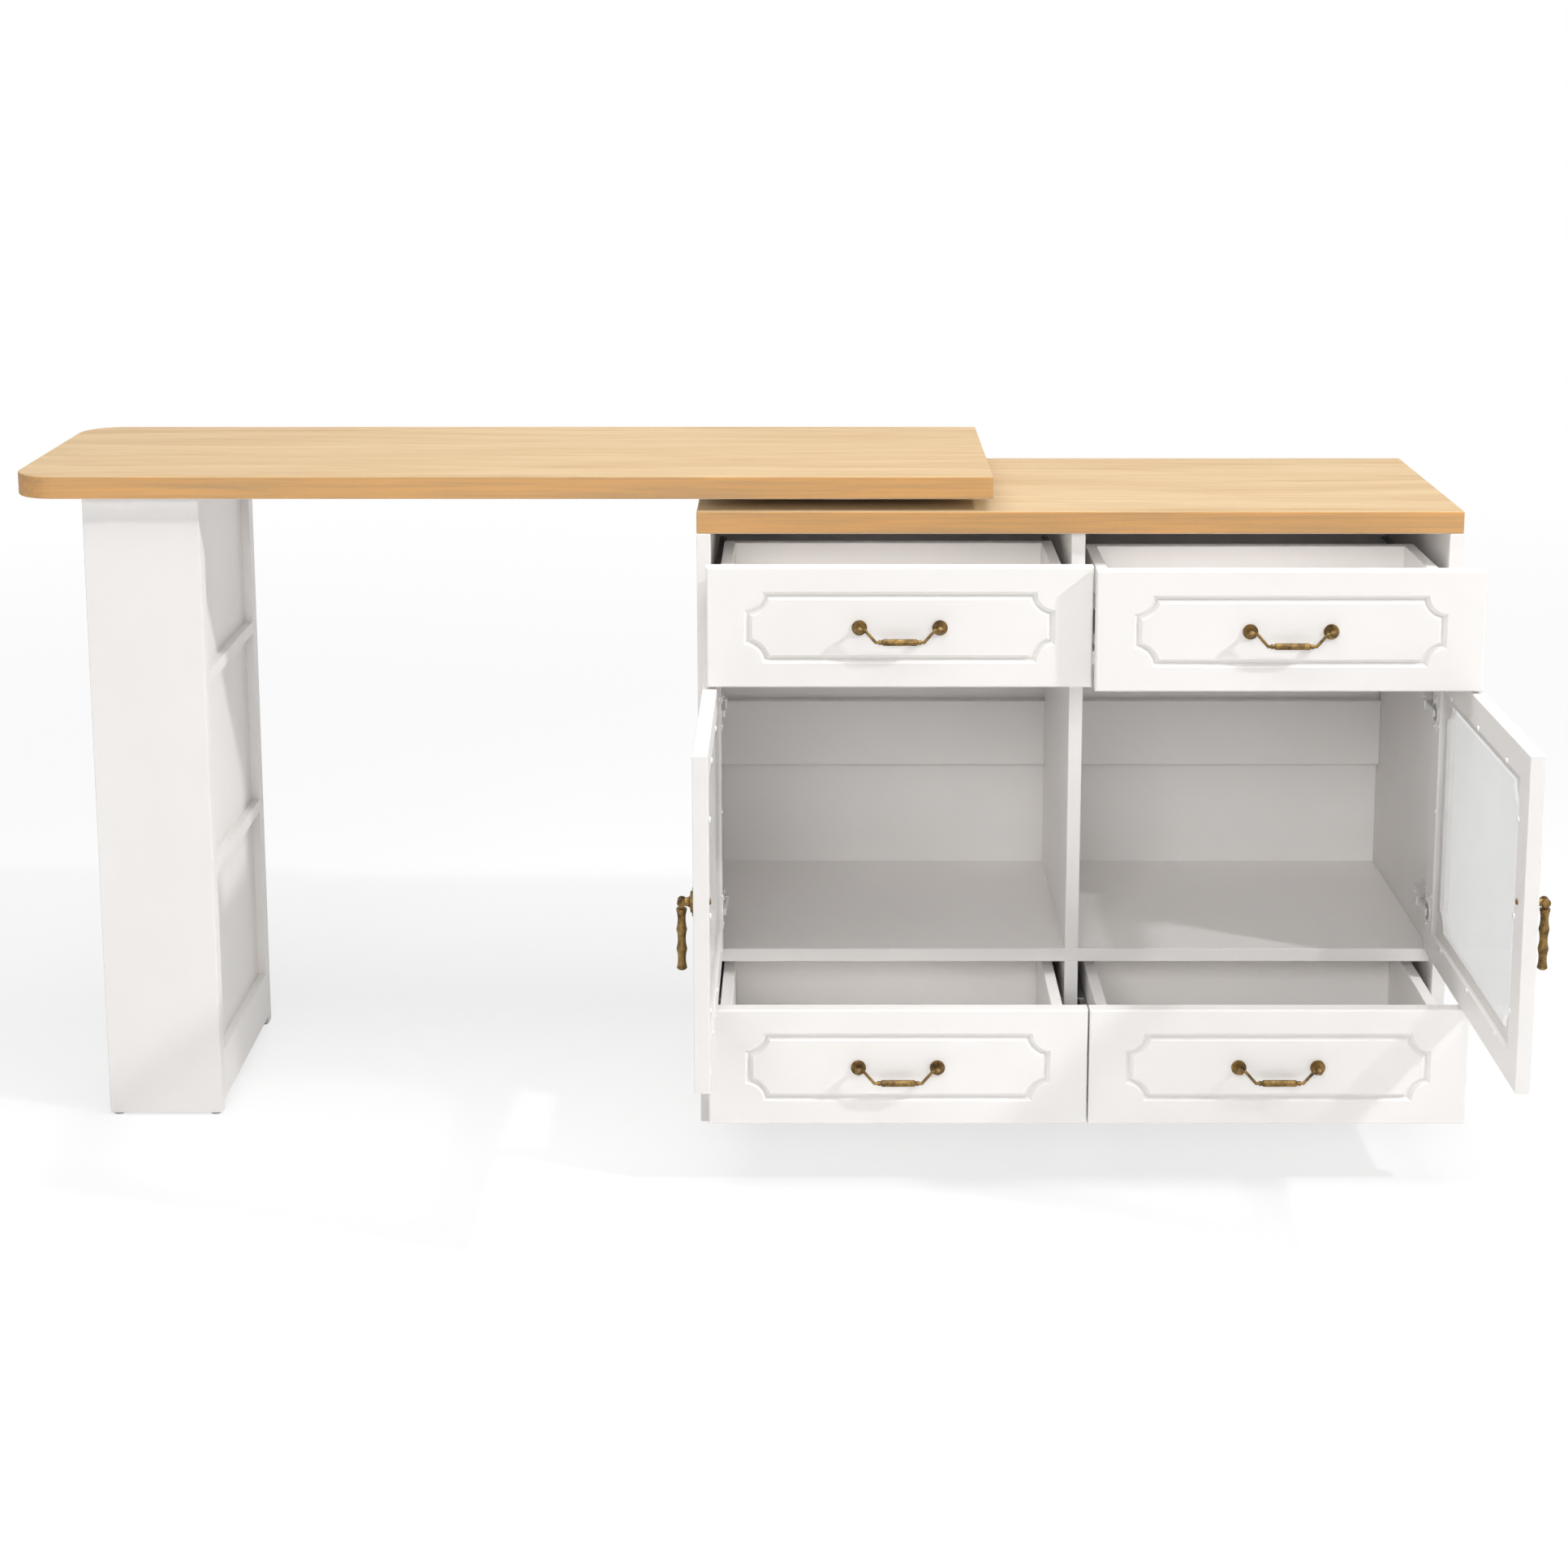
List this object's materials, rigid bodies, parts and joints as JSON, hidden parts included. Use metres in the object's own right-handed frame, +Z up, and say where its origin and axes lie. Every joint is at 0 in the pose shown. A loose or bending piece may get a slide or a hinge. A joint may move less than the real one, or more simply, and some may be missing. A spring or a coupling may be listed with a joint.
{
  "type": "kitchen island",
  "caption": "White kitchen island with drawers and glazed doors, and a wood-topped table that swivels over the cabinet on a panelled leg.",
  "frame": {"origin": "on the floor under the middle of the cabinet, on the lower divider's foot", "axes": "+X along the island away from the leg, -Y out of the drawer fronts, +Z up"},
  "size_m": [1.9009, 0.8804, 0.888],
  "materials": {
    "white_board": "satin white paint",
    "beech_top": "satin wood grain",
    "runner_steel": "zinc plated",
    "hinge_steel": "nickel plated",
    "bronze": "aged bronze",
    "glass": "clear",
    "glide": "matte"
  },
  "bodies": {
    "cabinet": {"left_side_panel": "white_board", "right_side_panel": "white_board", "shelf": "white_board", "centre_divider": "white_board", "lower_divider": "white_board", "left_deck": "white_board", "right_deck": "white_board", "bottom_panels": "white_board", "plinths": "white_board", "back_panel": "white_board", "back_rails": "white_board", "worktop": "beech_top", "runner_tracks": "runner_steel", "hinge_arms": "hinge_steel", "swivel_base_plate": "runner_steel", "swivel_ball_ring": "runner_steel"},
    "table": {"table_top": "beech_top", "swivel_top_plate": "runner_steel", "leg_front_panel": "white_board", "leg_back_panel": "white_board", "leg_inner_panel": "white_board", "leg_outer_panel": "white_board", "leg_top_block": "white_board", "leg_glides": "glide"},
    "upper_left_drawer": {"upper_left_drawer_front": "white_board", "upper_left_drawer_walls": "white_board", "upper_left_drawer_bottom": "white_board", "upper_left_drawer_slides": "runner_steel", "upper_left_handle_posts": "bronze"},
    "upper_left_bail": {"upper_left_bail": "bronze"},
    "upper_right_drawer": {"upper_right_drawer_front": "white_board", "upper_right_drawer_walls": "white_board", "upper_right_drawer_bottom": "white_board", "upper_right_drawer_slides": "runner_steel", "upper_right_handle_posts": "bronze"},
    "upper_right_bail": {"upper_right_bail": "bronze"},
    "lower_left_drawer": {"lower_left_drawer_front": "white_board", "lower_left_drawer_walls": "white_board", "lower_left_drawer_bottom": "white_board", "lower_left_drawer_slides": "runner_steel", "lower_left_handle_posts": "bronze"},
    "lower_left_bail": {"lower_left_bail": "bronze"},
    "lower_right_drawer": {"lower_right_drawer_front": "white_board", "lower_right_drawer_walls": "white_board", "lower_right_drawer_bottom": "white_board", "lower_right_drawer_slides": "runner_steel", "lower_right_handle_posts": "bronze"},
    "lower_right_bail": {"lower_right_bail": "bronze"},
    "left_door": {"left_door_frame": "white_board", "left_door_glass": "glass", "left_hinge_cups": "hinge_steel", "left_pull_post": "bronze"},
    "left_pull": {"left_pull_drop": "bronze"},
    "left_hinge_link": {"left_hinge_links": "hinge_steel"},
    "right_door": {"right_door_frame": "white_board", "right_door_glass": "glass", "right_hinge_cups": "hinge_steel", "right_pull_post": "bronze"},
    "right_pull": {"right_pull_drop": "bronze"},
    "right_hinge_link": {"right_hinge_links": "hinge_steel"}
  },
  "joints": [
    {"name": "table_swivel", "type": "hinge", "parent": "cabinet", "child": "table", "pos_m": [-0.307, 0, 0.858], "axis": [0, 0, 1], "range_deg": [-180, 90]},
    {"name": "upper_left_drawer_slide", "type": "slide", "parent": "cabinet", "child": "upper_left_drawer", "axis": [0, -1, 0], "range_m": [-0.185, 0.075]},
    {"name": "upper_left_bail_hinge", "type": "hinge", "parent": "upper_left_drawer", "child": "upper_left_bail", "pos_m": [-0.24075, -0.399, 0.7315], "axis": [-1, 0, 0], "range_deg": [-30, 95]},
    {"name": "upper_right_drawer_slide", "type": "slide", "parent": "cabinet", "child": "upper_right_drawer", "axis": [0, -1, 0], "range_m": [-0.206, 0.054]},
    {"name": "upper_right_bail_hinge", "type": "hinge", "parent": "upper_right_drawer", "child": "upper_right_bail", "pos_m": [0.24075, -0.42, 0.7315], "axis": [-1, 0, 0], "range_deg": [-30, 95]},
    {"name": "lower_left_drawer_slide", "type": "slide", "parent": "cabinet", "child": "lower_left_drawer", "axis": [0, -1, 0], "range_m": [-0.213, 0.047]},
    {"name": "lower_left_bail_hinge", "type": "hinge", "parent": "lower_left_drawer", "child": "lower_left_bail", "pos_m": [-0.24075, -0.427, 0.1665], "axis": [-1, 0, 0], "range_deg": [-30, 95]},
    {"name": "lower_right_drawer_slide", "type": "slide", "parent": "cabinet", "child": "lower_right_drawer", "axis": [0, -1, 0], "range_m": [-0.213, 0.047]},
    {"name": "lower_right_bail_hinge", "type": "hinge", "parent": "lower_right_drawer", "child": "lower_right_bail", "pos_m": [0.24075, -0.427, 0.1665], "axis": [-1, 0, 0], "range_deg": [-30, 95]},
    {"name": "left_door_hinge", "type": "hinge", "parent": "cabinet", "child": "left_door", "pos_m": [-0.4838, -0.1976, 0.449], "axis": [0, 0, -1], "range_deg": [-90, 0]},
    {"name": "left_link_hinge", "type": "hinge", "parent": "cabinet", "child": "left_hinge_link", "pos_m": [-0.465, -0.176, 0.441], "axis": [0, 0, -1], "range_deg": [-90, 0]},
    {"name": "left_pull_hinge", "type": "hinge", "parent": "left_door", "child": "left_pull", "pos_m": [-0.5007, -0.6524, 0.47], "axis": [0, 1, 0], "range_deg": [-5, 80]},
    {"name": "right_door_hinge", "type": "hinge", "parent": "cabinet", "child": "right_door", "pos_m": [0.4838, -0.1976, 0.449], "axis": [0, 0, 1], "range_deg": [-90, 0]},
    {"name": "right_link_hinge", "type": "hinge", "parent": "cabinet", "child": "right_hinge_link", "pos_m": [0.465, -0.176, 0.441], "axis": [0, 0, 1], "range_deg": [-90, 0]},
    {"name": "right_pull_hinge", "type": "hinge", "parent": "right_door", "child": "right_pull", "pos_m": [0.5007, -0.6524, 0.47], "axis": [0, -1, 0], "range_deg": [-5, 80]}
  ],
  "couplings": [
    {"joint": "left_link_hinge", "follows": "left_door_hinge", "ratio": 1},
    {"joint": "right_link_hinge", "follows": "right_door_hinge", "ratio": 1}
  ]
}
